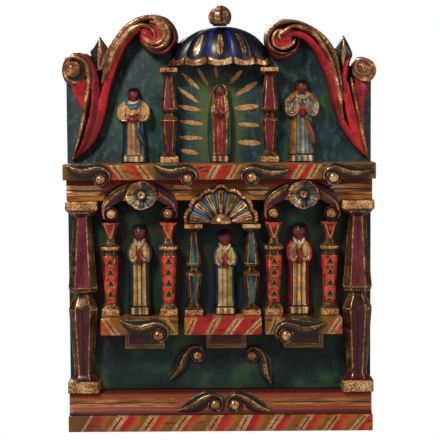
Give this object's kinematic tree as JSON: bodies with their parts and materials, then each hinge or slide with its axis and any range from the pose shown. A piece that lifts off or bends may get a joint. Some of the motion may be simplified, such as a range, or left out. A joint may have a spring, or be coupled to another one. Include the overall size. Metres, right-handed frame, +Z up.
{
  "type": "retablo",
  "caption": "Carved and painted wooden retablo: a standing board with a stepped base, two storeys of niches with pillars and figures, a half dome and scrolled crest wings.",
  "frame": {"origin": "centre of the underside of the plinth, on the surface that the retablo stands on", "axes": "+Z up, the carved front faces -Y, +X to the right as seen from the front"},
  "size_m": [0.4075, 0.0696, 0.5501],
  "materials": {
    "board_teal": "satin teal paint over wood, mottled",
    "fascia_red_gold": "red and ochre paint with gold diagonal bands, satin varnish",
    "moulding_red_gold": "red, ochre and gold bands, satin varnish",
    "column_purple": "plum paint with worn gold edges and crackled gold blocks",
    "pillar_red": "bright red paint with gold rings",
    "pillar_blue": "teal-blue paint with worn gold edges",
    "wing_red": "red paint with brown-gold ridges, glossy varnish",
    "arch_plum": "plum paint with gold ridges",
    "leaf_green_gold": "dark green paint with bronze-gold ridges",
    "rosette_silver": "silver-white and pale blue paint, dark glaze in the hollows",
    "shell_blue_gold": "turquoise paint with gold ribs and rim",
    "dome_navy_gold": "navy paint with gold stripes and hem, glossy varnish",
    "gilt": "gold paint, rubbed, dark glaze in the hollows",
    "plaque_maroon": "maroon paint with a gold border",
    "figure_paint": "several paints, gold robes and dark faces, satin varnish"
  },
  "bodies": {
    "root": {"backboard": "board_teal", "base_plinth": "fascia_red_gold", "cornice": "fascia_red_gold", "shelf_left": "fascia_red_gold", "shelf_middle": "fascia_red_gold", "shelf_right": "fascia_red_gold", "base_moulding": "moulding_red_gold", "frieze": "moulding_red_gold", "side_column_left": "column_purple", "side_column_right": "column_purple", "upper_column_left": "column_purple", "upper_column_right": "column_purple", "red_pillar_1": "pillar_red", "red_pillar_2": "pillar_red", "red_pillar_3": "pillar_red", "red_pillar_4": "pillar_red", "blue_pillar_left": "pillar_blue", "blue_pillar_right": "pillar_blue", "top_scroll_left": "wing_red", "top_scroll_right": "wing_red", "arch_scroll_1": "arch_plum", "arch_scroll_2": "arch_plum", "arch_scroll_3": "arch_plum", "arch_scroll_4": "arch_plum", "cornice_leaf_1": "leaf_green_gold", "cornice_leaf_2": "leaf_green_gold", "cornice_leaf_3": "leaf_green_gold", "cornice_leaf_4": "leaf_green_gold", "shelf_leaf_left": "leaf_green_gold", "shelf_leaf_right": "leaf_green_gold", "panel_leaf_left": "leaf_green_gold", "panel_leaf_right": "leaf_green_gold", "base_leaf_left": "leaf_green_gold", "base_leaf_right": "leaf_green_gold", "rosette_left": "rosette_silver", "rosette_right": "rosette_silver", "shell": "shell_blue_gold", "dome": "dome_navy_gold", "finial_ball": "gilt", "plaque_left": "plaque_maroon", "plaque_middle": "plaque_maroon", "plaque_right": "plaque_maroon", "figure_upper_left": "figure_paint", "figure_upper_middle": "figure_paint", "figure_upper_right": "figure_paint", "figure_lower_left": "figure_paint", "figure_lower_middle": "figure_paint", "figure_lower_right": "figure_paint"}
  },
  "joints": []
}
